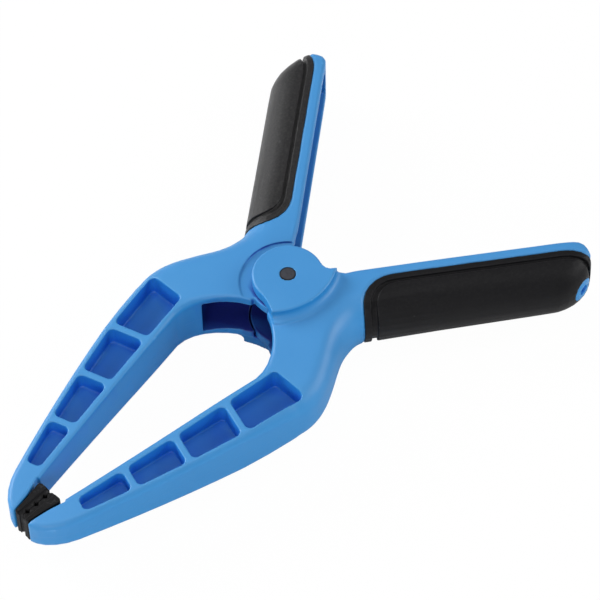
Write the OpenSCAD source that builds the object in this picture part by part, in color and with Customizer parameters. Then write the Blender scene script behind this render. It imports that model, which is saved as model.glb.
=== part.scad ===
// Soft-grip spring clamp, jaws closed, lying on its side.
// Two equal mouldings, one turned over on the other, turn on a pin through the hub.
// Frame: millimetres, +Z up. X runs along the clamp, with the jaws towards -X and the
// handles towards +X. The pivot axis is the Z axis, and Z = 0 is the face it lies on.
// Each sub-part is drawn for the upper side, Y > 0, about the clamp's middle plane.

/* [Jaws] */
// Pivot axis to the tip of the jaws
jaw_length = 163; // [140:1:196]
// Half thickness of the arms at the jaw tips
tip_half = 7.9; // [7:0.1:9.5]
// Closing line to the outer edge of a jaw at its tip, before the corner is rounded
tip_width = 13.7; // [12:0.1:16.4]
// Closing line to the widest point of a jaw, at its shoulder
shoulder_width = 50.2; // [42:0.5:56]
// Pivot axis to the shoulder, along the clamp
shoulder_x = 44; // [40:0.5:50]
// Closing line to the inner edge of a jaw at the throat
throat_width = 24.4; // [20.5:0.1:26]
// Pivot axis to the start of the throat's curve
throat_x = 46; // [42:0.5:50]
// How far the outer edge of a jaw bows out of a straight line
outer_bow = 2.4; // [0:0.1:4]
// How far the inner edge of a jaw bows out of a straight line
inner_bow = 0.6; // [0:0.1:2]

/* [Lightening pockets] */
// Pockets on each face of a jaw
pocket_count = 4; // [3:1:4]
// Length of the pocket nearest the tip
pocket_length = 22; // [18:0.5:23.5]
// How much longer each pocket is than the one before it
pocket_growth = 0.85; // [0:0.05:1]
// Thickness of a rib between two pockets
rib = 3.1; // [2.5:0.1:3.7]
// Jaw wall left beside the pockets
pocket_wall = 3.1; // [2.5:0.1:3.7]
// Web left between the front and back pockets
web = 5; // [4:0.1:6]
// Corner radius of the pockets
pocket_corner = 2.6; // [1.5:0.1:3]

/* [Hub] */
// Radius of the outside cheek's disc
disc_r = 16; // [14:0.1:17]
// How far the outside cheek stands out of the arm's face
cheek_step = 4.9; // [4:0.1:5.9]
// Radius of the inside cheek
inner_cheek_r = 17.2; // [16.6:0.1:18]
// Thickness of the inside cheek
inner_cheek_t = 4.4; // [3.7:0.1:5.2]
// Radius of the shallow recess that the other arm's disc turns in
recess_r = 21.6; // [20.5:0.1:24]
// Depth of that recess
recess_depth = 1.2; // [0.8:0.1:1.4]
// Gap between the two arms' cheeks
cheek_gap = 0.2; // [0.15:0.05:0.4]
// Radius of the raised sector, about a point below the pivot
sector_r = 30; // [28:0.1:31]
// Wall of the hollow hub
hub_wall = 3.4; // [2.8:0.1:4]
// Radius of the pivot pin
pin_r = 3.6; // [3:0.1:4.3]

/* [Handles] */
// Pivot axis to the end of a handle, along the handle
handle_length = 136; // [114:1:161]
// Angle of each handle from the clamp's length with the jaws closed
handle_angle = 36.4; // [32:0.1:42]
// Open rim of a handle to the outside of its grip
handle_width = 24.4; // [22:0.1:28]
// Width of the bare rim beside the grip
rim_width = 4.5; // [3.7:0.1:5.4]
// Width of the grip's border, between the rim and the groove
border_width = 2.9; // [2.4:0.1:3.4]
// Width of the groove between the border and the raised panel
groove_width = 1.8; // [1.5:0.1:2.2]
// Depth of that groove
groove_depth = 1.2; // [0.9:0.1:1.5]
// Width of the shallow step of the moulding round the grip
lip_width = 0.9; // [0.6:0.1:1.4]
// Depth of that step
lip_depth = 0.35; // [0.2:0.05:0.5]
// Thickness of the soft grip
grip_t = 2.6; // [2.2:0.1:3.1]
// Wall of the handle's channel under the grip
channel_wall = 2.6; // [2.1:0.1:3.1]
// Pivot axis to the root end of the grip, along the handle
grip_start = 30; // [28:0.5:36]
// Radius of the hanging hole
hang_hole_r = 2.6; // [2:0.1:3.2]
// Radius of the bare boss round the hanging hole
hang_boss_r = 5.8; // [5:0.1:6.5]

/* [Pads] */
// Length of a jaw pad
pad_length = 17.6; // [15:0.1:19]
// Thickness of a jaw pad, without its bead
pad_t = 6.1; // [5.6:0.1:6.6]
// Radius of the bead that a pad swivels on
bead_r = 2.3; // [2:0.1:2.6]
// Spacing of the gripping grooves
groove_pitch = 5.1; // [4:0.1:6]

/* [Spring] */
// Diameter of the spring wire
wire_d = 3; // [2.5:0.1:3.2]
// Radius of the coil to the middle of the wire
coil_r = 7; // [6.6:0.1:8.4]
// Whole turns of the coil, before the part turn between the legs
coil_turns = 4; // [3:1:4]
// Space between two turns of the coil
turn_space = 0.853; // [0.7:0.001:1]
// Reach of a leg along its handle
leg_reach = 46; // [38:0.5:56]

/* [Hidden] */
$fn = 64;

fit_gap = 0.05;
seat_gap = 0.3;

// Spring: its legs lie in the channels of the handles, which sets how far its coil turns
wire_r = wire_d / 2;
channel_inset = grip_t + channel_wall;
leg_seat_w = handle_width - channel_inset - wire_r - seat_gap - 4.4;
leg_angle = handle_angle + atan((leg_seat_w - coil_r) / leg_reach);
leg_length = norm([leg_reach, leg_seat_w - coil_r]);
coil_turn = 360 * coil_turns + 180 - 2 * leg_angle;
coil_height = coil_turn / 360 * (wire_d + turn_space);

// Heights from the middle plane, from the spring outwards: the hollow, the inside cheek,
// the arm's face and the outside cheek
hollow_half = (coil_height + wire_d) / 2 + seat_gap;
inner_cheek_top = hollow_half + inner_cheek_t;
arm_half = inner_cheek_top + recess_depth;
cheek_under = inner_cheek_top + cheek_gap;
hub_half = arm_half + cheek_step;
turn_gap_r = inner_cheek_r + 0.6;

// Small vector helpers
function mix(a, b, t) = a + (b - a) * t;
function along(p, q, d) = p + (q - p) * d / norm(q - p);
function hermite(p0, m0, p1, m1, t) =
    (2*t*t*t - 3*t*t + 1) * p0 + (t*t*t - 2*t*t + t) * m0
    + (3*t*t - 2*t*t*t) * p1 + (t*t*t - t*t) * m1;
function fall(u, p = 2) = 1 - pow(max(0, 1 - pow(u, p)), 1 / p);
function step(a, b, x) = let (t = min(1, max(0, (x - a) / (b - a)))) t*t*(3 - 2*t);

// Handle directions: s runs along the open rim, w across towards the grip
handle_dir = [cos(handle_angle), sin(handle_angle)];
handle_out = [-sin(handle_angle), cos(handle_angle)];
function on_handle(s, w) = s * handle_dir + w * handle_out;
rim_line = -0.5;

// Inner and outer edges of a jaw
tip_inner = 4.2;
tip_corner_x = 15;
tip_corner_y = 9.3;
function jaw_inner(x) = let (t = (x + jaw_length) / (jaw_length - throat_x))
    mix(tip_inner, throat_width, t) + 4 * inner_bow * t * (1 - t);
function jaw_outer(x) = let (t = (x + jaw_length) / (jaw_length - shoulder_x))
    mix(tip_width, shoulder_width, t) + 4 * outer_bow * t * (1 - t)
    - tip_corner_y * fall(max(0, 1 - (x + jaw_length) / tip_corner_x));

// Throat, shoulder and waist, which join the jaw to the hub and the handle
waist = [-2, 37.2];
handle_start = 31;
function throat(t) = hermite([-throat_x, throat_width], [36, 3],
                             [-disc_r - 1, 0], [8, -40], t);
function shoulder(t) = hermite([-shoulder_x, shoulder_width], [50, 13], waist, [32, -7], t);
function waist_curve(t) = hermite(waist, [13, -2], on_handle(handle_start, handle_width),
                                  13 * handle_dir, t);

// Ends of the handle: a nearly square inner corner and a long, flatter outer one
end_w = 8.5;
end_round = 16;
inner_corner = 6.5;
outer_corner = 19;
function handle_inner(s) = mix(rim_line, end_w,
    fall(max(0, (s - handle_length + inner_corner) / inner_corner), 2.7));
function handle_outer(s) = handle_width - (handle_width - end_w)
    * fall(max(0, (s - handle_length + outer_corner) / outer_corner), 1.75);
function end_drop(s) = 0.07 * step(40, handle_length, s)
    + 0.24 * fall(max(0, (s - handle_length + end_round) / end_round));

// Half thickness of the arm at x, tapering from the hub to the tips
function half_at(x) = mix(tip_half, arm_half, min(1, (x + jaw_length) / jaw_length));

// One section of an arm's skin. Its inner edge is at p and its outer edge at q. The corners
// are quarter ellipses: ri inside, ro along the section and rz in height outside, where rz
// and drop are shares of the half thickness. inset thins the faces.
inner_steps = 3;
outer_steps = 7;
function corner(ct, cz, rt, rz, a, n) =
    [for (i = [0:n]) [ct + rt * cos(a + 90*i/n), cz + rz * sin(a + 90*i/n)]];
function section(p, q, ri, ro, rz, drop = 0, inset = 0) = let (
    w = norm(q - p), e = (q - p) / w, k = 1 - drop,
    a = min(ri, 0.3 * w), b = min(ro, 0.6 * w), ka = a / arm_half, kb = rz * k,
    outline = concat(
        corner(a, -k + ka, a, ka, 180, inner_steps),
        corner(w - b, -k + kb, b, kb, 270, outer_steps),
        corner(w - b, k - kb, b, kb, 0, outer_steps),
        corner(a, k - ka, a, ka, 90, inner_steps)))
    [for (c = outline) let (xy = p + e * c[0]) [xy[0], xy[1], -c[1] * (half_at(xy[0]) - inset)]];

// Solid through a list of sections with as many points each
module skin(sections) {
    m = len(sections[0]);
    n = len(sections);
    sides = [for (i = [0:n-2]) for (j = [0:m-1]) let (k = (j + 1) % m, a = i*m, b = a + m)
             each [[a + j, a + k, b + k], [a + j, b + k, b + j]]];
    caps = [for (j = [1:m-2]) each [[0, j + 1, j], [(n-1)*m, (n-1)*m + j, (n-1)*m + j + 1]]];
    polyhedron(points = [for (s = sections) each s], faces = concat(sides, caps));
}

// Jaw stations from the tip to the throat, closer together round the tip
edge_in = 1.6;
throat_in = 3.4;
edge_out = 3;
jaw_steps = 8;
tip_stations = [0.2, 1.2, 3.2, 6.5, 10.5];
jaw_xs = concat([for (d = tip_stations) d - jaw_length],
                [for (i = [0:jaw_steps]) mix(tip_corner_x - jaw_length, -throat_x - 1, i / jaw_steps)]);
function shoulder_round(x) = mix(edge_out, 9, step(-75, -30, x));
function inner_round(x) = mix(edge_in, throat_in, step(-70, -40, x));
jaw_sections = [for (x = jaw_xs) section([x, jaw_inner(x)], [x, jaw_outer(x)], inner_round(x),
    shoulder_round(x), shoulder_round(x) / half_at(x), 0.25 * fall(max(0, 1 - (x + jaw_length) / 4)))];

// Hub stations: the inner ends run round the throat and inside the cheeks, the outer ends
// over the shoulder and the waist
hub_steps = 20;
hub_inner_r = disc_r - 5;
d_round = 13;
d_deep = 18;
d_rise = 0.96;
hub_arc_end = handle_angle + 6;
function hub_inner(t) = t < 0.4 ? throat(2.5 * t)
    : t < 0.7 ? let (a = mix(165, hub_arc_end, (t - 0.4) / 0.3)) hub_inner_r * [cos(a), sin(a)]
    : mix(hub_inner_r * [cos(hub_arc_end), sin(hub_arc_end)], on_handle(handle_start, rim_line),
          (t - 0.7) / 0.3);
function hub_outer(t) = t < 0.65 ? shoulder(t / 0.65) : waist_curve((t - 0.65) / 0.35);
hub_sections = [for (i = [0:hub_steps]) let (t = i / hub_steps, u = step(0, 1, t))
    section(hub_inner(t), hub_outer(t), mix(throat_in, edge_in, step(0.05, 0.3, t)),
            mix(9, d_round, u), mix(9 / arm_half, d_rise, u))];

// Handle stations, the same along the handle for the arm, its core and its grip. Inset
// thins the handle on its outside and faces.
skin_start = handle_start + 3;
handle_stations = [0, 0.25, 0.5, 0.75, 0.83, 0.87, 0.905, 0.935, 0.96, 0.98, 0.993, 0.999];
function handle_sections(first, inset) =
    [for (i = [first < skin_start ? -1 : 0 : len(handle_stations) - 1])
     let (s = i < 0 ? first : mix(skin_start, handle_length - inset, handle_stations[i]), s0 = s + inset)
     section(on_handle(s, handle_inner(s0)), on_handle(s, handle_outer(s0) - inset),
             edge_in, mix(d_round, d_deep, step(handle_start, 75, s)) - inset / 2, d_rise,
             end_drop(s0), inset)];

// Channel stations, open past the rim
channel_end = 5;
channel_stations = [0, 0.45, 0.82, 0.88, 0.93, 0.97, 0.99];
channel_sections = [for (f = channel_stations)
    let (s = mix(handle_start - 6, handle_length - channel_end, f), s0 = s + channel_end)
    section(on_handle(s, -4), on_handle(s, handle_outer(s0) - channel_inset), edge_in,
            12, 0.9, end_drop(s0) + 0.04, channel_inset - 1.6)];

// Plan of the arm round the hub, for the raised cheek
neck_fillet = 4.5;
neck_centre = (disc_r + neck_fillet) * [cos(25), sin(25)];
cheek_inset = 1;
function inside_throat(t) = let (v = throat(t + 0.01) - throat(t - 0.01))
    throat(t) + cheek_inset * [-v[1], v[0]] / norm(v);
plan_hub = concat([for (t = [0:0.1:1]) inside_throat(t)], [[-disc_r, 0], [0, 0]],
    [for (a = [205:-16:125]) neck_centre + neck_fillet * [cos(a), sin(a)]],
    [on_handle(disc_r + 6.5, rim_line + 0.6), on_handle(60, rim_line + 0.6), on_handle(60, handle_width)],
    [for (t = [1:-0.25:0]) waist_curve(t)], [for (t = [0.9:-0.1:0]) shoulder(t)]);

// Hollow round the spring, between the faces of the hub
window_x = 33.5;
hollow_first = 0.16;
hollow_plan = let (ts = [for (i = [0:10]) mix(hollow_first, 1, i / 10)])
    concat([for (t = ts) along(hub_outer(t), hub_inner(t), hub_wall + (t > 0.75 ? 2 : 0))],
           [on_handle(handle_start + 4, handle_width - channel_inset - 0.8),
            on_handle(handle_start + 4, -4), on_handle(4, -4), [-window_x, 6]]);

// Areas of the grip, along and across the handle: from s0 to s1 along it, and from w0
// outwards. root and corner are the radii of the two rounded corners, and slant leans
// the root end.
function quarter(c, r, a, n) = [for (i = [0:n]) c + [r[0] * cos(a + 90*i/n), r[1] * sin(a + 90*i/n)]];
function grip_area(s0, s1, w0, root, corner, slant) =
    concat([[s0, handle_width + 12]],
           quarter([s0 + slant + root, w0 + root], [root, root], 180, 6),
           quarter([s1 - corner[0], w0 + corner[1]], corner, 270, 6),
           [[s1 + 2, w0 + corner[1] + 2], [s1 + 2, handle_width + 12]]);
function whole_grip(o) = grip_area(grip_start + o, handle_length + 3 - o, rim_width + o, 15.6,
                                   [15, 11], 0.6);
function inside_border() = grip_area(grip_start + border_width + 0.9, handle_length + 1.5,
    rim_width + border_width, 12.6, [14.5, 8.6], 0);
function panel() = grip_area(grip_start + border_width + groove_width + 1.9, handle_length - 0.4,
    rim_width + border_width + groove_width, 10.8, [13, 8], 0);
module over_handle(points) {
    linear_extrude(4 * arm_half, center = true) rotate(handle_angle) polygon(points);
}

// Hanging hole: its axis leaves the rounded outer corner of the handle
hang_angle = 48;
hang_point = on_handle(handle_length - 4.6, handle_width - 6.4);
module hang_axis(r, length) {
    translate([hang_point[0], hang_point[1], 0]) rotate([0, 90, handle_angle + hang_angle])
        cylinder(r = r, h = length, center = true);
}

// Jaw notch for the pad, and the blind socket for its bead. The pad tapers towards the tip.
pad_gap = 0.2;
pad_tip = jaw_length - 0.6;
pad_in = pad_tip - pad_length + 0.2;
pad_back_tip = pad_t - 2.1;
bead = [-pad_tip + 0.5 * pad_length, pad_t + 2];
bead_half = 5;
socket_gap = 0.3;
swing_gap = 1.5;
module pad_notch() {
    linear_extrude(4 * arm_half, center = true)
        polygon([[-jaw_length - 2, -2], [-jaw_length - 2, pad_back_tip + 0.3],
                 [-pad_tip, pad_back_tip + 0.5], [bead[0], pad_t - 0.9 + swing_gap / 2],
                 [-pad_in + 0.7, pad_t + 1.3 + swing_gap], [-pad_in + 0.7, -2]]);
    translate([0, 0, -bead_half - socket_gap])
        linear_extrude(2 * (bead_half + socket_gap)) {
            translate(bead) circle(r = bead_r + fit_gap);
            translate([bead[0] - 2, 0]) square([4, bead[1]]);
        }
}

// Pockets between slanted ribs, rounded at their corners
rib_slant = 0.285;
tip_solid = 22.7;
function pocket_start(i) = -jaw_length + tip_solid + i * (pocket_length + rib)
    + pocket_growth * i * (i - 1) / 2;
module pocket(i) {
    a = pocket_start(i);
    b = a + pocket_length + i * pocket_growth;
    last = i == pocket_count - 1;
    r = pocket_corner;
    ya = jaw_inner(a) + pocket_wall;
    yb = jaw_inner(b) + pocket_wall;
    a2 = a - rib_slant * (jaw_outer(a) - pocket_wall - ya);
    b2 = b - (last ? 0.02 : rib_slant) * (jaw_outer(b) - pocket_wall - yb);
    ya2 = jaw_outer(a2) - pocket_wall;
    yb2 = jaw_outer(b2) - pocket_wall - (last ? 1.2 : 0);
    offset(r) offset(-r) polygon([[a, ya], [b, yb], [b2, yb2], [a2, ya2]]);
}
module pockets() {
    for (i = [0:pocket_count-1], side = [0, 1])
        mirror([0, 0, side]) translate([0, 0, web / 2]) linear_extrude(2 * arm_half) pocket(i);
}

// Raised outside cheek at the back of the arm: a disc round the pin and a coved sector
cove = 3;
sector_centre = [1.5, -12];
edge_r = 0.9;
module raised_profile(r) {
    polygon(concat([[0, cheek_under], [r + cove, cheek_under], [r + cove, arm_half]],
        [for (a = [270:-15:180]) [r + cove + cove * cos(a), arm_half + cove + cove * sin(a)]],
        [for (a = [0:30:90]) [r - edge_r + edge_r * cos(a), hub_half - edge_r + edge_r * sin(a)]],
        [[0, hub_half]]));
}
module raised_cheek() {
    mirror([0, 0, 1]) {
        intersection() {
            linear_extrude(hub_half + 1) polygon(plan_hub);
            translate([sector_centre[0], sector_centre[1], 0])
                rotate_extrude($fn = 96) raised_profile(sector_r);
        }
        rotate_extrude($fn = 96) polygon(concat([[0, cheek_under], [disc_r, cheek_under]],
            [for (a = [0:30:90]) [disc_r - edge_r + edge_r * cos(a), hub_half - edge_r + edge_r * sin(a)]],
            [[0, hub_half]]));
    }
}

module arm() {
    difference() {
        union() {
            difference() {
                skin(concat(jaw_sections, hub_sections, handle_sections(skin_start, 0)));
                difference() {
                    over_handle(whole_grip(0));
                    skin(handle_sections(grip_start - 4, grip_t));
                }
                // Shallow step round the grip
                difference() {
                    over_handle(whole_grip(-lip_width));
                    skin(handle_sections(grip_start - 4, lip_depth));
                }
                // Recess for the other arm's disc, and room for its inside cheek to turn
                translate([0, 0, inner_cheek_top]) cylinder(r = recess_r, h = arm_half);
                translate([0, 0, -cheek_under])
                    cylinder(r = turn_gap_r, h = cheek_under + hollow_half);
                translate([0, 0, -hollow_half])
                    linear_extrude(2 * hollow_half) polygon(hollow_plan);
                skin(channel_sections);
                pockets();
                pad_notch();
            }
            raised_cheek();
            translate([0, 0, hollow_half]) cylinder(r = inner_cheek_r, h = inner_cheek_t);
            intersection() {
                skin(handle_sections(grip_start - 4, 0));
                translate(concat(hang_point, 0)) rotate([0, 90, handle_angle + hang_angle])
                    cylinder(r = hang_boss_r, h = 2 * (grip_t + channel_wall), center = true);
            }
        }
        cylinder(r = pin_r + fit_gap, h = 3 * hub_half, center = true);
        hang_axis(hang_hole_r, 40);
    }
}

bond = 0.02;
module grip() {
    difference() {
        intersection() {
            skin(handle_sections(grip_start - 4, 0));
            over_handle(whole_grip(fit_gap));
        }
        skin(handle_sections(grip_start - 4, grip_t - bond));
        hang_axis(hang_boss_r + fit_gap, 40);
        // Groove round the raised panel
        difference() {
            over_handle(inside_border());
            over_handle(panel());
            skin(handle_sections(grip_start - 4, groove_depth));
        }
    }
}

// Pad: a serrated wedge with rounded ends and a bead on a neck
tooth_depth = 1.25;
pad_half = tip_half - 0.3;
neck = 1.1;
pad_land = 2.4;
module pad() {
    difference() {
        union() {
            translate([0, 0, -pad_half]) linear_extrude(2 * pad_half)
                polygon([[-pad_tip, pad_land], [-pad_tip, pad_back_tip - 0.6],
                         [-pad_tip + 0.6, pad_back_tip], [bead[0], pad_t - 1],
                         [-pad_in - 2.2, pad_t + 0.4], [-pad_in - 0.7, pad_t + 0.5],
                         [-pad_in, pad_t - 0.6], [-pad_in, pad_land]]);
            translate([0, 0, -pad_half + 0.5]) linear_extrude(2 * pad_half - 1)
                polygon([[-pad_tip, pad_t / 2], [-pad_tip, pad_gap / 2], [-pad_in - 0.8, pad_gap / 2],
                         [-pad_in, pad_gap / 2 + 0.8], [-pad_in, pad_t / 2]]);
            translate([0, 0, -bead_half]) linear_extrude(2 * bead_half) {
                translate([bead[0] - neck, pad_t / 2]) square([2 * neck, bead[1] - pad_t / 2]);
                translate(bead) circle(r = bead_r);
            }
        }
        for (i = [0:3]) translate([-pad_tip + 0.4 + i * groove_pitch - (i == 0 ? 0 : 1.7), pad_gap / 2, 0])
            rotate(45) cube([tooth_depth * sqrt(2), tooth_depth * sqrt(2), 4 * pad_half], center = true);
    }
}

module pin() {
    chamfer = 0.4;
    half = hub_half;
    rotate_extrude() polygon([[0, -half], [pin_r - chamfer, -half], [pin_r, chamfer - half],
                              [pin_r, half - chamfer], [pin_r - chamfer, half], [0, half]]);
}

// Torsion spring: one wire, from the tip of one leg round the coil to the tip of the other
loop_rings = 24;
wire_sides = 6;
first_angle = leg_angle + 90;
coil_steps = ceil(coil_turn / 360 * loop_rings);
leg_steps = 4;
function coil_point(i) = let (a = first_angle + coil_turn * i / coil_steps)
    [coil_r * cos(a), coil_r * sin(a), coil_height * (i / coil_steps - 0.5)];
function leg_point(i, f, side) = let (p = coil_point(i))
    [p[0] + f * leg_length * cos(leg_angle), p[1] + side * f * leg_length * sin(leg_angle), p[2]];
wire_path = concat([for (i = [leg_steps:-1:1]) leg_point(0, i / leg_steps, 1)],
                   [for (i = [0:coil_steps]) coil_point(i)],
                   [for (i = [1:leg_steps]) leg_point(coil_steps, i / leg_steps, -1)]);
function wire_ring(i) = let (
    n = len(wire_path), p = wire_path[i],
    t = wire_path[min(n - 1, i + 1)] - wire_path[max(0, i - 1)],
    f = t / norm(t), c = cross(f, [0, 0, 1]), g = c / norm(c), u = cross(g, f))
    [for (j = [0:wire_sides-1]) p + wire_r * (cos(360*j/wire_sides) * g + sin(360*j/wire_sides) * u)];
module spring() {
    skin([for (i = [0:len(wire_path)-1]) wire_ring(i)]);
}

// Least gap between neighbouring turns, from the middle points of the wire
coil_gap = min([for (i = [0:coil_steps], j = [i + loop_rings / 2 : coil_steps])
                norm(coil_point(i) - coil_point(j)) - wire_d]);
echo(coil_gap = coil_gap);

module seated() { translate([0, 0, hub_half]) children(); }
module turned_over() { rotate([180, 0, 0]) children(); }

module upper_arm() { color("#2f7fc8") seated() arm(); }
module lower_arm() { color("#3d8ed6") seated() turned_over() arm(); }
module upper_grip() { color("#2c2c2e") seated() grip(); }
module lower_grip() { color("#2c2c2e") seated() turned_over() grip(); }
module upper_pad() { color("#1c1c1e") seated() pad(); }
module lower_pad() { color("#1c1c1e") seated() turned_over() pad(); }
module pivot_pin() { color("#303030") seated() pin(); }
module torsion_spring() { color("#8d9094") seated() spring(); }

lower_arm();
lower_grip();
upper_arm();
upper_grip();
lower_pad();
upper_pad();
pivot_pin();
torsion_spring();
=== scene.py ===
# %% [markdown]
# # A soft-grip spring clamp
# Two blue mouldings turn on a pin, a coil spring between them shuts the jaws, and soft black
# grips cover the handles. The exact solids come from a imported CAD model. This notebook gives
# them softened edges, finishes, a camera and light. Nothing here changes a size.

# %% Load the frame
import math
import bmesh
import bpy
from mathutils import Matrix, Vector
from mathutils.bvhtree import BVHTree
from mathutils.kdtree import KDTree


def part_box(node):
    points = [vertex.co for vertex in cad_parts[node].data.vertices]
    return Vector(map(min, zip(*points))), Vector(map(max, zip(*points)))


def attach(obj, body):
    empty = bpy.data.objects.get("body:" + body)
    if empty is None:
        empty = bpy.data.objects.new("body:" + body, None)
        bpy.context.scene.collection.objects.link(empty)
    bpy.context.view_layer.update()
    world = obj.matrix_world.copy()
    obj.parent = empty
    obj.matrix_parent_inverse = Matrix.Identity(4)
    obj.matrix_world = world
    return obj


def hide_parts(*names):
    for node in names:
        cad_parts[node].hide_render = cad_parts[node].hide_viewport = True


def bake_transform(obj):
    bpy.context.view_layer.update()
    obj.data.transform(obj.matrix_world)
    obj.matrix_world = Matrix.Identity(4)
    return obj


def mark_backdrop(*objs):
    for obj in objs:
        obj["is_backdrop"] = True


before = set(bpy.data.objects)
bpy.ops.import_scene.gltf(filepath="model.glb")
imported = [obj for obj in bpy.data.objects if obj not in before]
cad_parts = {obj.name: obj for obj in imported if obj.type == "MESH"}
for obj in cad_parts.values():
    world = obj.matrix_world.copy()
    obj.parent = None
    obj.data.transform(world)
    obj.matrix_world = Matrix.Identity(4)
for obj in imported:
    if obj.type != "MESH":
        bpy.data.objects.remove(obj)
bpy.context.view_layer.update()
scene = bpy.context.scene
scene.view_settings.view_transform = "Standard"

# %% [markdown]
# ## Camera
# A long lens from far away keeps the two handles nearly parallel, as a catalogue view does.
# The camera is set from its place and its own right and up directions, because three
# vectors say more plainly where it looks than three angles do.

# %% Camera
CAMERA_PLACE = Vector((-0.5582, -0.5605, 1.1023))
CAMERA_RIGHT = Vector((0.69290, -0.72095, -0.01122))
CAMERA_UP = Vector((0.58653, 0.55452, 0.59033))
LENS_MM = 180


def place_camera():
    data = bpy.data.cameras.new("catalogue_camera")
    data.lens = LENS_MM
    data.sensor_width = 36
    data.clip_start, data.clip_end = 0.05, 50
    camera = bpy.data.objects.new("catalogue_camera", data)
    scene.collection.objects.link(camera)
    turn = Matrix((CAMERA_RIGHT, CAMERA_UP, CAMERA_RIGHT.cross(CAMERA_UP))).transposed()
    camera.matrix_world = Matrix.Translation(CAMERA_PLACE) @ turn.to_4x4()
    scene.camera = camera
    return camera


camera = place_camera()
print("camera height", round(camera.location.z, 3), "m")

# %% [markdown]
# ## Floor, backdrop and light
# Small tools show best on white with hardly any shadow. A dim white world lights
# every side a little. Four broad soft lamps do the rest: one overhead, one low behind the
# clamp that draws a sheen over the rubber, and one low at each side of the camera for the
# walls that face it. Low lamps leave pockets darker than rims, which is what shows their
# depth. The floor glows for the camera alone, so it looks white but takes a shadow.

# %% World
def white_world(strength, seen_white):
    world = bpy.data.worlds.new("white_studio")
    world.use_nodes = True
    nodes, links = world.node_tree.nodes, world.node_tree.links
    nodes.clear()
    out = nodes.new("ShaderNodeOutputWorld")
    mixed = nodes.new("ShaderNodeMixShader")
    light = nodes.new("ShaderNodeBackground")
    seen = nodes.new("ShaderNodeBackground")
    path = nodes.new("ShaderNodeLightPath")
    either = nodes.new("ShaderNodeMath")
    either.operation = "MAXIMUM"
    light.inputs["Color"].default_value = (1, 1, 1, 1)
    light.inputs["Strength"].default_value = strength
    seen.inputs["Color"].default_value = (1, 1, 1, 1)
    seen.inputs["Strength"].default_value = seen_white
    links.new(path.outputs["Is Camera Ray"], either.inputs[0])
    links.new(path.outputs["Is Transmission Ray"], either.inputs[1])
    links.new(either.outputs[0], mixed.inputs[0])
    links.new(light.outputs[0], mixed.inputs[1])
    links.new(seen.outputs[0], mixed.inputs[2])
    links.new(mixed.outputs[0], out.inputs[0])
    scene.world = world
    return world

WORLD_STRENGTH = 0.22
print("world:", white_world(WORLD_STRENGTH, 1.0).name)

# %% Floor
FLOOR_GLOW = 0.98
FLOOR_WHITE = (0.9, 0.9, 0.9, 1)
FLOOR_SIZE = 6.0

def white_floor(size):
    mesh = bpy.data.meshes.new("studio_floor")
    h = size / 2
    mesh.from_pydata([(-h, -h, 0), (h, -h, 0), (h, h, 0), (-h, h, 0)], [], [(0, 1, 2, 3)])
    floor = bpy.data.objects.new("studio_floor", mesh)
    scene.collection.objects.link(floor)
    paint = bpy.data.materials.new("white_floor")
    paint.use_nodes = True
    nodes, links = paint.node_tree.nodes, paint.node_tree.links
    nodes.clear()
    out = nodes.new("ShaderNodeOutputMaterial")
    mixed = nodes.new("ShaderNodeMixShader")
    matt = nodes.new("ShaderNodeBsdfDiffuse")
    glow = nodes.new("ShaderNodeEmission")
    path = nodes.new("ShaderNodeLightPath")
    share = nodes.new("ShaderNodeMath")
    share.operation = "MULTIPLY"
    share.inputs[1].default_value = FLOOR_GLOW
    matt.inputs["Color"].default_value = FLOOR_WHITE
    glow.inputs["Strength"].default_value = 1.0
    links.new(path.outputs["Is Camera Ray"], share.inputs[0])
    links.new(share.outputs[0], mixed.inputs[0])
    links.new(matt.outputs[0], mixed.inputs[1])
    links.new(glow.outputs[0], mixed.inputs[2])
    links.new(mixed.outputs[0], out.inputs[0])
    mesh.materials.append(paint)
    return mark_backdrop(floor)

white_floor(FLOOR_SIZE)
print("floor at z = 0,", FLOOR_SIZE, "m wide")

# %% Lamps
LIT_POINT = Vector((0, 0, 0.02))

def soft_lamp(name, place, size, watts):
    data = bpy.data.lights.new(name, "AREA")
    data.shape = "DISK"
    data.size = size
    data.energy = watts
    lamp = bpy.data.objects.new(name, data)
    scene.collection.objects.link(lamp)
    lamp.location = place
    lamp.rotation_euler = (LIT_POINT - Vector(place)).to_track_quat("-Z", "Y").to_euler()
    return lamp

soft_lamp("overhead", (-0.2, 0.1, 1.3), 0.9, 4.0)
soft_lamp("back_left", (-0.35, 1.05, 0.6), 0.7, 13.5)
soft_lamp("front_left", (-1.2, -0.75, 0.6), 0.8, 9.0)
soft_lamp("front_right", (0.9, -0.75, 0.6), 0.8, 8.5)

# %% [markdown]
# ## Effects that several finishes share
# Moulded plastic, rubber and steel all show a fine grain, corners painted lighter (a painted
# highlight along with some wear), creases painted darker (a painted shade) and a little dust.
# Each effect is a node group with named inputs, so one group serves every finish with its own
# numbers. Object coordinates are used because every piece sits at the origin, which makes one unit
# a metre for all of them.

# %% Helper for node groups
def new_group(name, inputs, outputs):
    group = bpy.data.node_groups.new(name, "ShaderNodeTree")
    for label, value in inputs.items():
        socket = group.interface.new_socket(label, in_out="INPUT", socket_type="NodeSocketFloat")
        socket.default_value = value
    for label in outputs:
        group.interface.new_socket(label, in_out="OUTPUT", socket_type="NodeSocketFloat")
    start = group.nodes.new("NodeGroupInput")
    end = group.nodes.new("NodeGroupOutput")
    return group, start, end

def math_node(tree, operation, a, b=None, clamp=False):
    node = tree.nodes.new("ShaderNodeMath")
    node.operation = operation
    node.use_clamp = clamp
    for socket, value in zip(node.inputs, (a, b)):
        if hasattr(value, "links"):
            tree.links.new(value, socket)
        elif value is not None:
            socket.default_value = value
    return node.outputs[0]

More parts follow.
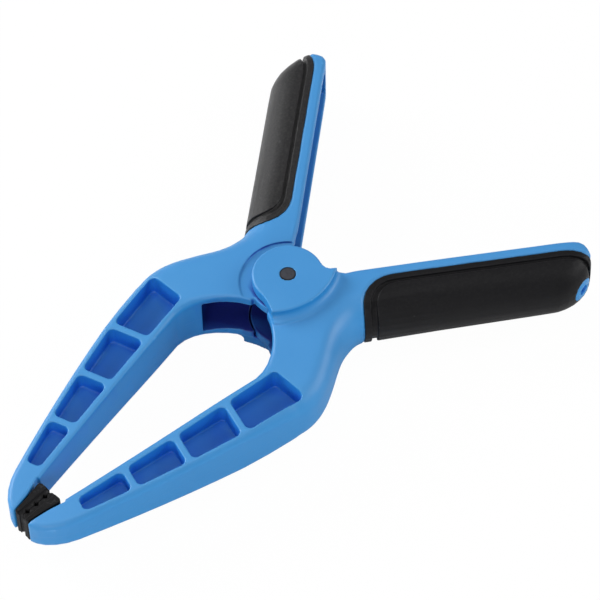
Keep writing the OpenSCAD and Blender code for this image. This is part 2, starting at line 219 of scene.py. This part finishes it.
# %% Grain group
def grain_group():
    sizes = {"Grains per metre": 4000.0, "Clouds per metre": 60.0}
    group, start, end = new_group("fine_grain", sizes, ["Height", "Clouds"])
    place = group.nodes.new("ShaderNodeTexCoord").outputs["Object"]
    grain = group.nodes.new("ShaderNodeTexNoise")
    clouds = group.nodes.new("ShaderNodeTexNoise")
    grain.inputs["Detail"].default_value = 2.0
    grain.inputs["Roughness"].default_value = 0.6
    clouds.inputs["Detail"].default_value = 5.0
    clouds.inputs["Roughness"].default_value = 0.55
    group.links.new(place, grain.inputs["Vector"])
    group.links.new(place, clouds.inputs["Vector"])
    group.links.new(start.outputs["Grains per metre"], grain.inputs["Scale"])
    group.links.new(start.outputs["Clouds per metre"], clouds.inputs["Scale"])
    group.links.new(grain.outputs["Fac"], end.inputs["Height"])
    group.links.new(clouds.outputs["Fac"], end.inputs["Clouds"])
    return group

fine_grain = grain_group()
print(fine_grain.name, [s.name for s in fine_grain.interface.items_tree])

# %% Painted edge highlight and crease shade group
# The first output picks convex corners, which the finishes paint lighter: a painted highlight along
# with wear. The second picks concave corners, which they paint darker: a painted shade.
def edge_and_crease_group():
    limits = {"From": 0.52, "To": 0.62, "Patches per metre": 90.0}
    group, start, end = new_group("edge_highlight_and_crease_shade", limits, ["Edges", "Crease shade"])
    sharp = group.nodes.new("ShaderNodeNewGeometry").outputs["Pointiness"]
    place = group.nodes.new("ShaderNodeTexCoord").outputs["Object"]
    patches = group.nodes.new("ShaderNodeTexNoise")
    patches.inputs["Detail"].default_value = 4.0
    group.links.new(place, patches.inputs["Vector"])
    group.links.new(start.outputs["Patches per metre"], patches.inputs["Scale"])
    span = math_node(group, "SUBTRACT", start.outputs["To"], start.outputs["From"])
    above = math_node(group, "SUBTRACT", sharp, start.outputs["From"])
    edges = math_node(group, "DIVIDE", above, span, clamp=True)
    broken = math_node(group, "MULTIPLY", patches.outputs["Fac"], 1.5, clamp=True)
    group.links.new(math_node(group, "MULTIPLY", edges, broken), end.inputs["Edges"])
    floor = math_node(group, "SUBTRACT", 1.0, start.outputs["From"])
    below = math_node(group, "SUBTRACT", floor, sharp)
    group.links.new(math_node(group, "DIVIDE", below, span, clamp=True), end.inputs["Crease shade"])
    return group

edge_highlight_and_crease_shade = edge_and_crease_group()
print(edge_highlight_and_crease_shade.name)

# %% Dust group
def dust_group():
    amounts = {"Amount": 0.2, "Specks per metre": 900.0}
    group, start, end = new_group("settled_dust", amounts, ["Dust", "Upward"])
    facing = group.nodes.new("ShaderNodeSeparateXYZ")
    group.links.new(group.nodes.new("ShaderNodeNewGeometry").outputs["Normal"], facing.inputs[0])
    place = group.nodes.new("ShaderNodeTexCoord").outputs["Object"]
    specks = group.nodes.new("ShaderNodeTexNoise")
    specks.inputs["Detail"].default_value = 6.0
    specks.inputs["Roughness"].default_value = 0.7
    group.links.new(place, specks.inputs["Vector"])
    group.links.new(start.outputs["Specks per metre"], specks.inputs["Scale"])
    upward = math_node(group, "MAXIMUM", facing.outputs["Z"], 0.15)
    strewn = math_node(group, "POWER", specks.outputs["Fac"], 3.0)
    lying = math_node(group, "MULTIPLY", upward, strewn)
    group.links.new(math_node(group, "MULTIPLY", lying, start.outputs["Amount"], clamp=True),
                    end.inputs["Dust"])
    group.links.new(math_node(group, "MAXIMUM", facing.outputs["Z"], 0.0), end.inputs["Upward"])
    return group

settled_dust = dust_group()
print(settled_dust.name)

# %% [markdown]
# ## Finishes
# Each finish is a Principled BSDF. Numbers that are the same all over are set on its own
# sockets, and only what varies over the surface comes in through nodes.

# %% Helper for finishes
def srgb(r, g, b):
    def linear(v):
        v /= 255
        return v / 12.92 if v <= 0.04045 else ((v + 0.055) / 1.055) ** 2.4
    return (linear(r), linear(g), linear(b), 1.0)

def new_finish(name, metallic, specular):
    finish = bpy.data.materials.new(name)
    finish.use_nodes = True
    nodes = finish.node_tree.nodes
    nodes.clear()
    bsdf = nodes.new("ShaderNodeBsdfPrincipled")
    bsdf.inputs["Metallic"].default_value = metallic
    bsdf.inputs["Specular IOR Level"].default_value = specular
    out = nodes.new("ShaderNodeOutputMaterial")
    finish.node_tree.links.new(bsdf.outputs[0], out.inputs[0])
    return finish, finish.node_tree, bsdf

def use_group(tree, group, **values):
    node = tree.nodes.new("ShaderNodeGroup")
    node.node_tree = group
    for label, value in values.items():
        node.inputs[label.replace("_", " ")].default_value = value
    return node

def tint(tree, share, under, over):
    mix = tree.nodes.new("ShaderNodeMix")
    mix.data_type = "RGBA"
    tree.links.new(share, mix.inputs["Factor"])
    for socket, value in ((mix.inputs[6], under), (mix.inputs[7], over)):
        if hasattr(value, "links"):
            tree.links.new(value, socket)
        else:
            socket.default_value = value
    return mix.outputs[2]

def rough_between(tree, bsdf, share, low, high):
    span = math_node(tree, "MULTIPLY", share, high - low)
    tree.links.new(math_node(tree, "ADD", span, low), bsdf.inputs["Roughness"])

def bumped(tree, bsdf, height, distance):
    bump = tree.nodes.new("ShaderNodeBump")
    bump.inputs["Distance"].default_value = distance
    tree.links.new(height, bump.inputs["Height"])
    tree.links.new(bump.outputs["Normal"], bsdf.inputs["Normal"])

def own_axes(tree):
    place = tree.nodes.new("ShaderNodeTexCoord").outputs["Object"]
    apart = tree.nodes.new("ShaderNodeSeparateXYZ")
    tree.links.new(place, apart.inputs[0])
    return apart.outputs["X"], apart.outputs["Y"], apart.outputs["Z"]

def from_pin(tree, x, y):
    squares = math_node(tree, "ADD", math_node(tree, "MULTIPLY", x, x),
                        math_node(tree, "MULTIPLY", y, y))
    return math_node(tree, "SQRT", squares)

# %% [markdown]
# ### Blue moulding
# The arms are glass-filled nylon from a spark-eroded mould: satin, with a very fine grain.
# The colour is even, with convex corners painted lighter (a painted highlight) and creases
# painted deeper (a painted shade). The two halves of the mould meet at mid-height, which leaves a
# hair-thin line round the outside.
# Faces that look up are painted paler, a painted top light. Pockets and other closed-in places
# lose that top light and are painted a deeper blue, and closed-in places round the pin a near-black
# navy: both are painted shade. For these the material reads a number that each arm's mesh will
# carry for how closed in a point is.

# %% Blue moulding
MID_HEIGHT = (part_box("pivot_pin")[0].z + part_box("pivot_pin")[1].z) / 2
# Thresholds of the painted shade that closed-in places get, and the reach of the darker painted
# shade round the pin.
OCCLUSION_FROM, OCCLUSION_GAIN = 0.32, 2.2
HUB_SHADE_RADIUS, HUB_SHADE_EDGE = 0.042, 0.005
PARTING_LINE = 0.00016
# The first colour is the pale tint of the painted top light; the second is the dust's.
TOP_LIGHT_TINT, DUSTY = srgb(196, 206, 214), srgb(196, 206, 214)

def blue_moulding():
    finish, tree, bsdf = new_finish("blue_moulding", 0.0, 0.42)
    grain = use_group(tree, fine_grain, Grains_per_metre=5200.0, Clouds_per_metre=34.0)
    edge_crease = use_group(tree, edge_highlight_and_crease_shade, From=0.515, To=0.60, Patches_per_metre=120.0)
    dust = use_group(tree, settled_dust, Amount=0.06, Specks_per_metre=1400.0)
    x, y, z = own_axes(tree)
    cloudy = tint(tree, grain.outputs["Clouds"], srgb(30, 129, 196), srgb(42, 137, 202))
    # Painted shade: the closed-in number read from the arm's mesh sets how much painted shade a
    # point gets.
    occlusion_read = tree.nodes.new("ShaderNodeAttribute")
    occlusion_read.attribute_name = "occluded"
    over = math_node(tree, "SUBTRACT", occlusion_read.outputs["Fac"], OCCLUSION_FROM)
    painted_shade_depth = math_node(tree, "MULTIPLY", over, OCCLUSION_GAIN, clamp=True)
    # Painted top light: faces that look up are painted paler, less so where they are closed in.
    top_painted_light = math_node(tree, "MULTIPLY", math_node(tree, "SUBTRACT", 1.0, painted_shade_depth),
                         math_node(tree, "MULTIPLY", dust.outputs["Upward"], 0.06))
    top_lightened = tint(tree, top_painted_light, cloudy, TOP_LIGHT_TINT)
    # Painted shade: creases painted a deeper blue.
    crease_shaded = tint(tree, math_node(tree, "MULTIPLY", edge_crease.outputs["Crease shade"], 0.5),
                  top_lightened, srgb(12, 78, 186))
    # Painted shade: pockets and other closed-in places painted a deeper blue.
    pocket_shaded = tint(tree, math_node(tree, "MULTIPLY", painted_shade_depth, 0.45), crease_shaded, srgb(8, 66, 212))
    # Painted shade: closed-in places round the pin painted a near-black navy.
    inside = math_node(tree, "SUBTRACT", HUB_SHADE_RADIUS, from_pin(tree, x, y))
    near_pin = math_node(tree, "DIVIDE", inside, HUB_SHADE_EDGE, clamp=True)
    hub_shade_mask = math_node(tree, "MULTIPLY", near_pin, painted_shade_depth)
    hub_shaded = tint(tree, math_node(tree, "MULTIPLY", hub_shade_mask, 0.88), pocket_shaded, srgb(26, 14, 116))
    # Painted highlight: convex corners painted a lighter blue, along with wear.
    worn_and_highlit = tint(tree, math_node(tree, "MULTIPLY", edge_crease.outputs["Edges"], 0.4),
                hub_shaded, srgb(98, 170, 226))
    dusty = tint(tree, dust.outputs["Dust"], worn_and_highlit, DUSTY)
    tree.links.new(dusty, bsdf.inputs["Base Color"])
    rough_between(tree, bsdf, grain.outputs["Clouds"], 0.36, 0.50)
    off_middle = math_node(tree, "ABSOLUTE", math_node(tree, "SUBTRACT", z, MID_HEIGHT))
    line = math_node(tree, "SUBTRACT", 1.0,
                     math_node(tree, "DIVIDE", off_middle, PARTING_LINE), clamp=True)
    height = math_node(tree, "ADD", math_node(tree, "MULTIPLY", grain.outputs["Height"], 0.5),
                       math_node(tree, "MULTIPLY", line, 1.6))
    bumped(tree, bsdf, height, 0.00005)
    return finish

moulding = blue_moulding()
print(moulding.name, "parting line at z =", round(MID_HEIGHT, 4))

# %% [markdown]
# ### Grip rubber
# The grips are a soft elastomer moulded over the handles. It is charcoal, not black, with a
# dull sheen in broad soft patches, a grain coarser than the nylon's, and it holds dust. The
# upper grip is a lit copy of the same rubber with more shine, sheen and pale dust: painted sheen
# that makes it lighter than the lower one.

# %% Grip rubber
def grip_rubber(name, shine, haze, dustiness):
    finish, tree, bsdf = new_finish(name, 0.0, shine)
    bsdf.inputs["Sheen Weight"].default_value = haze
    bsdf.inputs["Sheen Roughness"].default_value = 0.4
    grain = use_group(tree, fine_grain, Grains_per_metre=3000.0, Clouds_per_metre=42.0)
    edge_crease = use_group(tree, edge_highlight_and_crease_shade, From=0.52, To=0.62, Patches_per_metre=150.0)
    dust = use_group(tree, settled_dust, Amount=dustiness, Specks_per_metre=800.0)
    cloudy = tint(tree, grain.outputs["Clouds"], srgb(9, 9, 11), srgb(23, 23, 26))
    # Painted shade in the creases, and a painted highlight along with wear on the edges.
    crease_shaded = tint(tree, math_node(tree, "MULTIPLY", edge_crease.outputs["Crease shade"], 0.9),
                  cloudy, srgb(6, 6, 7))
    worn_and_highlit = tint(tree, math_node(tree, "MULTIPLY", edge_crease.outputs["Edges"], 0.5),
                crease_shaded, srgb(66, 66, 70))
    dusty = tint(tree, dust.outputs["Dust"], worn_and_highlit, srgb(84, 83, 82))
    tree.links.new(dusty, bsdf.inputs["Base Color"])
    rough_between(tree, bsdf, grain.outputs["Clouds"], 0.52, 0.36)
    bumped(tree, bsdf, grain.outputs["Height"], 0.00006)
    return finish

# Lit and shaded copies of one rubber: the upper grip's extra shine, sheen and dust are painted
# sheen.
shaded_copy_rubber = grip_rubber("grip_rubber", 0.16, 0.02, 0.25)
lit_copy_rubber = grip_rubber("grip_rubber_lit_copy", 0.34, 0.10, 0.9)
print(shaded_copy_rubber.name, lit_copy_rubber.name)

# %% [markdown]
# ### Jaw pad rubber
# The pads are a harder black rubber. Their teeth and edges are painted lighter: a little scuffing
# together with a painted highlight.

# %% Jaw pad rubber
def pad_rubber():
    finish, tree, bsdf = new_finish("jaw_pad_rubber", 0.0, 0.16)
    grain = use_group(tree, fine_grain, Grains_per_metre=4200.0, Clouds_per_metre=150.0)
    edge_crease = use_group(tree, edge_highlight_and_crease_shade, From=0.53, To=0.64, Patches_per_metre=400.0)
    dust = use_group(tree, settled_dust, Amount=0.3, Specks_per_metre=1200.0)
    cloudy = tint(tree, grain.outputs["Clouds"], srgb(6, 6, 8), srgb(18, 18, 21))
    # Painted highlight along with scuffing on the teeth and edges.
    worn_and_highlit = tint(tree, math_node(tree, "MULTIPLY", edge_crease.outputs["Edges"], 0.6),
                cloudy, srgb(60, 60, 62))
    dusty = tint(tree, dust.outputs["Dust"], worn_and_highlit, srgb(74, 73, 71))
    tree.links.new(dusty, bsdf.inputs["Base Color"])
    rough_between(tree, bsdf, grain.outputs["Clouds"], 0.5, 0.66)
    bumped(tree, bsdf, grain.outputs["Height"], 0.00006)
    return finish

pad_finish = pad_rubber()
print(pad_finish.name)

# %% [markdown]
# ### Pin steel
# The pin is a plain steel rod, blackened, and its ends show the mottled grey of a cropped
# face with a darker rim.

# %% Pin steel
PIN_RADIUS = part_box("pivot_pin")[1].x
RIM_FROM, RIM_WIDTH = 0.80, 0.14

def pin_steel():
    finish, tree, bsdf = new_finish("pin_steel", 0.55, 0.5)
    grain = use_group(tree, fine_grain, Grains_per_metre=2600.0, Clouds_per_metre=700.0)
    cloudy = tint(tree, grain.outputs["Clouds"], srgb(38, 40, 47), srgb(84, 86, 94))
    x, y, _ = own_axes(tree)
    start = math_node(tree, "SUBTRACT", from_pin(tree, x, y), PIN_RADIUS * RIM_FROM)
    rim = math_node(tree, "DIVIDE", start, PIN_RADIUS * RIM_WIDTH, clamp=True)
    tree.links.new(tint(tree, rim, cloudy, srgb(16, 15, 17)), bsdf.inputs["Base Color"])
    rough_between(tree, bsdf, grain.outputs["Clouds"], 0.42, 0.68)
    bumped(tree, bsdf, grain.outputs["Clouds"], 0.00012)
    return finish

pin_finish = pin_steel()
print(pin_finish.name, "radius", round(PIN_RADIUS * 1000, 2), "mm")

# %% [markdown]
# ### Spring steel
# Drawn wire carries fine scratches along its length, so this pattern follows the wire. It
# reads two attributes that the spring's node tree stores: the place along the wire and the
# place round it.

# %% Spring steel
def spring_steel():
    finish, tree, bsdf = new_finish("spring_steel", 1.0, 0.5)
    along = tree.nodes.new("ShaderNodeAttribute")
    around = tree.nodes.new("ShaderNodeAttribute")
    along.attribute_name, around.attribute_name = "along_wire", "round_wire"
    where = tree.nodes.new("ShaderNodeCombineXYZ")
    tree.links.new(math_node(tree, "MULTIPLY", along.outputs["Fac"], 60.0), where.inputs["X"])
    tree.links.new(math_node(tree, "MULTIPLY", around.outputs["Fac"], 40.0), where.inputs["Y"])
    scratches = tree.nodes.new("ShaderNodeTexNoise")
    scratches.inputs["Scale"].default_value = 1.0
    scratches.inputs["Detail"].default_value = 3.0
    tree.links.new(where.outputs[0], scratches.inputs["Vector"])
    grain = use_group(tree, fine_grain, Grains_per_metre=5000.0, Clouds_per_metre=120.0)
    steel = tint(tree, grain.outputs["Clouds"], srgb(118, 120, 124), srgb(160, 162, 166))
    drawn = tint(tree, scratches.outputs["Fac"], steel, srgb(92, 93, 96))
    tree.links.new(drawn, bsdf.inputs["Base Color"])
    rough_between(tree, bsdf, scratches.outputs["Fac"], 0.24, 0.46)
    bumped(tree, bsdf, scratches.outputs["Fac"], 0.00003)
    return finish

spring_finish = spring_steel()
print(spring_finish.name)

# %% [markdown]
# ## Softened solids
# The CAD solids have knife-sharp edges and flat facets where the curved faces are. A real
# moulding has neither: its mould is cut with a small round on every edge, inside and out.
# A Bevel modifier wants clean faces, which a triangulated solid lacks. So each piece is
# rebuilt as an even skin of tiny faces (a voxel Remesh), relaxed a little everywhere to round
# its edges, and relaxed much more where no edge is near, to melt the facets together. Then
# Decimate takes away the faces that flat areas don't need.

# %% Edges to keep
SHARP, SLIGHT = math.radians(24), math.radians(6)
NARROW_FACE = 0.0006
POINT_STEP = 0.0006

def kept_edges(work):
    points = []
    for edge in work.edges:
        if len(edge.link_faces) != 2:
            continue
        bend = edge.calc_face_angle(0.0)
        length = edge.calc_length()
        width = min(face.calc_area() for face in edge.link_faces) / max(length, 1e-9)
        if bend > SHARP or (bend > SLIGHT and width < NARROW_FACE):
            a, b = edge.verts[0].co, edge.verts[1].co
            count = max(1, int(length / POINT_STEP))
            points += [a.lerp(b, i / count) for i in range(count + 1)]
    tree = KDTree(len(points))
    for i, point in enumerate(points):
        tree.insert(point, i)
    tree.balance()
    return tree, len(points)

# %% Evaluated mesh
def baked_mesh(piece, name):
    graph = bpy.context.evaluated_depsgraph_get()
    graph.update()
    mesh = bpy.data.meshes.new_from_object(piece.evaluated_get(graph))
    mesh.name = name
    piece.modifiers.clear()
    return mesh

# %% Softened copy of a solid
EDGE_ZONE, MELT_ZONE = 0.0008, 0.0030
STEPS = 10

def softened(node, name, voxel, rounding, melting, faces):
    work = bmesh.new()
    work.from_mesh(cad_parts[node].data)
    bmesh.ops.remove_doubles(work, verts=work.verts, dist=1e-6)
    edges, count = kept_edges(work)
    mesh = bpy.data.meshes.new(name)
    work.to_mesh(mesh)
    work.free()
    piece = bpy.data.objects.new(name, mesh)
    scene.collection.objects.link(piece)
    remesh = piece.modifiers.new("even_skin", "REMESH")
    remesh.mode = "VOXEL"
    remesh.voxel_size = voxel
    piece.data = baked_mesh(piece, name)
    levels = [[] for _ in range(STEPS + 1)]
    for vertex in piece.data.vertices:
        far = (edges.find(vertex.co)[2] - EDGE_ZONE) / MELT_ZONE
        far = min(1.0, max(0.0, far))
        levels[round(STEPS * far * far * (3 - 2 * far))].append(vertex.index)
    group = piece.vertex_groups.new(name="far_from_edges")
    for level, members in enumerate(levels):
        group.add(members, level / STEPS, "REPLACE")
    passes = (("round_edges", rounding, ""), ("melt_facets", melting, group.name))
    for title, rounds, masked in passes:
        relax = piece.modifiers.new(title, "SMOOTH")
        relax.factor, relax.iterations, relax.vertex_group = 0.5, rounds, masked
    thin = piece.modifiers.new("fewer_faces", "DECIMATE")
    thin.ratio = min(1.0, faces / (2 * len(piece.data.polygons)))
    skin = len(piece.data.polygons)
    piece.data = baked_mesh(piece, name)
    piece.vertex_groups.clear()
    piece.data.shade_smooth()
    print(name, "edge points", count, "skin faces", skin, "faces", len(piece.data.polygons))
    return piece

# %% [markdown]
# The clamp's two halves are the same mouldings, one turned over about the clamp's length.
# So each kind is softened once, and its twin is a copy turned half round.

# %% Twin, turned over
def turned_over(piece, name):
    twin = bpy.data.objects.new(name, piece.data.copy())
    scene.collection.objects.link(twin)
    middle = Vector((0, 0, MID_HEIGHT))
    twin.data.transform(Matrix.Translation(middle) @ Matrix.Rotation(math.pi, 4, "X")
                        @ Matrix.Translation(-middle))
    return twin

def dressed(piece, node, body, finish):
    piece.data.materials.clear()
    piece.data.materials.append(finish)
    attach(piece, body)
    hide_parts(node)
    return piece

# %% [markdown]
# ### How closed in a point is
# This number sets the painted shade of the blue moulding. Short rays are sent from each point in
# even directions, and the share that meets one of the two arms says how closed in it is. It is
# stored on the mesh, so the finish can read it, and both arms get the same numbers.

# %% Closed-in number for painted shade
GRAZING = 0.15
LIFT = 0.0002

def even_directions(count):
    golden = math.pi * (3 - math.sqrt(5))
    spread = []
    for i in range(count):
        z = 1 - (2 * i + 1) / count
        flat = math.sqrt(1 - z * z)
        spread.append(Vector((flat * math.cos(golden * i), flat * math.sin(golden * i), z)))
    return spread

def store_occlusion(piece, twin, rays, reach):
    corners, faces = [], []
    for part in (piece, twin):
        first = len(corners)
        corners.extend(v.co for v in part.data.vertices)
        faces.extend([i + first for i in p.vertices] for p in part.data.polygons)
    tree = BVHTree.FromPolygons(corners, faces)
    spread, values = even_directions(rays), []
    for vertex in piece.data.vertices:
        start, total, hidden = vertex.co + vertex.normal * LIFT, 0.0, 0.0
        for ray in spread:
            facing = ray.dot(vertex.normal)
            if facing > GRAZING:
                total += facing
                if tree.ray_cast(start, ray, reach)[0] is not None:
                    hidden += facing
        values.append(hidden / total)
    for part in (piece, twin):
        layer = part.data.attributes.new("occluded", "FLOAT", "POINT")
        layer.data.foreach_set("value", values)
    return sum(values) / len(values)

# %% [markdown]
# ### Arms
# The arm is the largest moulding. Its skin has 0.4 mm faces, fine enough to hold the lip
# round the grip, which is a step of a third of a millimetre.

# %% Arms
upper_arm = softened("upper_arm", "upper_arm_moulding", voxel=0.0004, rounding=3,
                     melting=110, faces=190000)
lower_arm = turned_over(upper_arm, "lower_arm_moulding")
occlusion = store_occlusion(upper_arm, lower_arm, rays=32, reach=0.06)
print("mean shelter of an arm:", round(occlusion, 3))
dressed(upper_arm, "upper_arm", "upper_arm", moulding)
dressed(lower_arm, "lower_arm", "lower_arm", moulding)
print("arms:", upper_arm.name, lower_arm.name)

# %% [markdown]
# ### Grips
# The soft grip is moulded over the handle, so its edges are round and it fills its groove.

# %% Grips
upper_grip = softened("upper_grip", "upper_soft_grip", voxel=0.0003, rounding=3,
                      melting=120, faces=160000)
lower_grip = turned_over(upper_grip, "lower_soft_grip")
dressed(upper_grip, "upper_grip", "upper_arm", lit_copy_rubber)
dressed(lower_grip, "lower_grip", "lower_arm", shaded_copy_rubber)
print("grips:", upper_grip.name, lower_grip.name)

# %% [markdown]
# ### Jaw pads
# The pads are small, with sharp little teeth, so their skin is the finest.

# %% Jaw pads
upper_pad = softened("upper_pad", "upper_jaw_pad", voxel=0.00018, rounding=3,
                     melting=40, faces=60000)
lower_pad = turned_over(upper_pad, "lower_jaw_pad")
dressed(upper_pad, "upper_pad", "upper_pad", pad_finish)
dressed(lower_pad, "lower_pad", "lower_pad", pad_finish)
print("pads:", upper_pad.name, lower_pad.name)

# %% [markdown]
# ## Pivot pin
# The pin is turned steel rod with a small round at each end. A profile spun about the axis
# gives a true round rod: the CAD solid's rod is a many-sided one. The poles at the two ends
# are closed by merging the points that the spin leaves there.

# %% Pivot pin
CORNER_STEPS = 6

def turned_pin(name, radius, low, high, round_off, sides):
    profile = [(0.0, low), (radius * 0.5, low)]
    for i in range(CORNER_STEPS + 1):
        a = math.pi / 2 * i / CORNER_STEPS
        profile.append((radius - round_off + round_off * math.sin(a),
                        low + round_off * (1 - math.cos(a))))
    profile += [(r, low + high - z) for r, z in reversed(profile)]
    work = bmesh.new()
    points = [work.verts.new((r, 0, z)) for r, z in profile]
    edges = [work.edges.new(pair) for pair in zip(points, points[1:])]
    bmesh.ops.spin(work, geom=points + edges, cent=(0, 0, 0), axis=(0, 0, 1),
                   angle=math.tau, steps=sides)
    bmesh.ops.remove_doubles(work, verts=work.verts, dist=1e-6)
    bmesh.ops.recalc_face_normals(work, faces=work.faces)
    mesh = bpy.data.meshes.new(name)
    work.to_mesh(mesh)
    work.free()
    mesh.shade_smooth()
    pin = bpy.data.objects.new(name, mesh)
    scene.collection.objects.link(pin)
    return pin

pin_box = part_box("pivot_pin")
pin = turned_pin("pivot_pin_rod", PIN_RADIUS, pin_box[0].z, pin_box[1].z,
                 round_off=0.0004, sides=96)
dressed(pin, "pivot_pin", "lower_arm", pin_finish)
print("pin faces:", len(pin.data.polygons))

# %% [markdown]
# ## Torsion spring
# The spring is one wire: a straight leg in one handle, a coil round the pin, and a straight
# leg in the other handle. That is a rule, so Geometry Nodes builds it: a line of points is
# bent into the path by a few sums on each point's number, and a round profile is swept
# along it. The node tree also stores where each face lies along and round the wire.

# %% Helpers for geometry nodes
def geo_inputs(group, sockets):
    for label, kind, value in sockets:
        socket = group.interface.new_socket(label, in_out="INPUT", socket_type=kind)
        if value is not None:
            socket.default_value = value
    group.interface.new_socket("Geometry", in_out="OUTPUT", socket_type="NodeSocketGeometry")

def set_inputs(modifier, values):
    for item in modifier.node_group.interface.items_tree:
        if item.in_out == "INPUT" and item.name in values:
            modifier[item.identifier] = values[item.name]

# %% Spring node tree
def spring_tree(finish):
    tree = bpy.data.node_groups.new("wire_spring", "GeometryNodeTree")
    lengths = ["Coil radius", "Coil height", "Leg length", "Wire radius", "Middle height",
               "First angle", "Coil turn", "Leg angle"]
    geo_inputs(tree, [(n, "NodeSocketFloat", 0.0) for n in lengths] + [
        ("Coil points", "NodeSocketInt", 320), ("Leg points", "NodeSocketInt", 24)])
    start, end = tree.nodes.new("NodeGroupInput"), tree.nodes.new("NodeGroupOutput")
    value = {n.name: start.outputs[n.name] for n in tree.interface.items_tree
             if n.in_out == "INPUT"}

    def sums(operation, a, b=0.0, clamp=False):
        return math_node(tree, operation, a, b, clamp)

    index = tree.nodes.new("GeometryNodeInputIndex").outputs[0]
    last = sums("ADD", value["Coil points"], sums("MULTIPLY", value["Leg points"], 2.0))
    line = tree.nodes.new("GeometryNodeMeshLine")
    tree.links.new(sums("ADD", last, 1.0), line.inputs["Count"])
    past_leg = sums("SUBTRACT", index, value["Leg points"])
    turned = sums("DIVIDE", past_leg, value["Coil points"], True)
    first = sums("SUBTRACT", 1.0, sums("DIVIDE", index, value["Leg points"]), True)
    back = sums("SUBTRACT", index, sums("ADD", value["Coil points"], value["Leg points"]))
    second = sums("DIVIDE", back, value["Leg points"], True)
    angle = sums("ADD", value["First angle"], sums("MULTIPLY", turned, value["Coil turn"]))
    out_first = sums("MULTIPLY", first, value["Leg length"])
    out_second = sums("MULTIPLY", second, value["Leg length"])
    lean_x, lean_y = sums("COSINE", value["Leg angle"]), sums("SINE", value["Leg angle"])
    x = sums("ADD", sums("MULTIPLY", sums("COSINE", angle), value["Coil radius"]),
             sums("MULTIPLY", sums("ADD", out_first, out_second), lean_x))
    y = sums("ADD", sums("MULTIPLY", sums("SINE", angle), value["Coil radius"]),
             sums("MULTIPLY", sums("SUBTRACT", out_first, out_second), lean_y))
    z = sums("ADD", value["Middle height"],
             sums("MULTIPLY", sums("SUBTRACT", turned, 0.5), value["Coil height"]))
    spot = tree.nodes.new("ShaderNodeCombineXYZ")
    for result, label in ((x, "X"), (y, "Y"), (z, "Z")):
        tree.links.new(result, spot.inputs[label])
    place = tree.nodes.new("GeometryNodeSetPosition")
    tree.links.new(line.outputs[0], place.inputs["Geometry"])
    tree.links.new(spot.outputs[0], place.inputs["Position"])
    curve = tree.nodes.new("GeometryNodeMeshToCurve")
    tree.links.new(place.outputs[0], curve.inputs["Mesh"])

    def stored(geometry, name, field):
        keep = tree.nodes.new("GeometryNodeStoreNamedAttribute")
        keep.data_type, keep.domain = "FLOAT", "POINT"
        keep.inputs["Name"].default_value = name
        tree.links.new(geometry, keep.inputs["Geometry"])
        tree.links.new(field, keep.inputs["Value"])
        return keep.outputs[0]

    length = tree.nodes.new("GeometryNodeSplineParameter").outputs["Length"]
    path = stored(curve.outputs[0], "along_wire", length)
    ring = tree.nodes.new("GeometryNodeCurvePrimitiveCircle")
    ring.inputs["Resolution"].default_value = 20
    tree.links.new(value["Wire radius"], ring.inputs["Radius"])
    round_wire = tree.nodes.new("GeometryNodeSplineParameter").outputs["Factor"]
    swing = sums("MULTIPLY", sums("ABSOLUTE", sums("SUBTRACT", round_wire, 0.5)), 2.0)
    profile = stored(ring.outputs[0], "round_wire", swing)
    sweep = tree.nodes.new("GeometryNodeCurveToMesh")
    sweep.inputs["Fill Caps"].default_value = True
    tree.links.new(path, sweep.inputs["Curve"])
    tree.links.new(profile, sweep.inputs["Profile Curve"])
    smooth = tree.nodes.new("GeometryNodeSetShadeSmooth")
    real = tree.nodes.new("GeometryNodeRealizeInstances")
    coat = tree.nodes.new("GeometryNodeSetMaterial")
    coat.inputs["Material"].default_value = finish
    tree.links.new(sweep.outputs[0], smooth.inputs["Geometry"])
    tree.links.new(smooth.outputs[0], real.inputs["Geometry"])
    tree.links.new(real.outputs[0], coat.inputs["Geometry"])
    tree.links.new(coat.outputs[0], end.inputs["Geometry"])
    return tree

# %% Torsion spring
def wound_spring(name, finish, sizes):
    spring = bpy.data.objects.new(name, bpy.data.meshes.new(name))
    scene.collection.objects.link(spring)
    nodes = spring.modifiers.new("wire", "NODES")
    nodes.node_group = spring_tree(finish)
    set_inputs(nodes, sizes)
    spring.data = baked_mesh(spring, name)
    return spring

SPRING = {"Coil radius": 0.007, "Coil height": 0.0164, "Leg length": 0.04639, "Wire radius": 0.0015,
          "Middle height": MID_HEIGHT, "First angle": math.radians(133.83),
          "Coil turn": math.radians(1532.34), "Leg angle": math.radians(43.83)}
spring = wound_spring("torsion_spring_wire", spring_finish, SPRING)
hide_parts("torsion_spring")
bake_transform(spring)
spread = [[round(f(v.co[i] for v in spring.data.vertices), 4) for i in range(3)]
          for f in (min, max)]
print("spring faces:", len(spring.data.polygons), "box", spread)
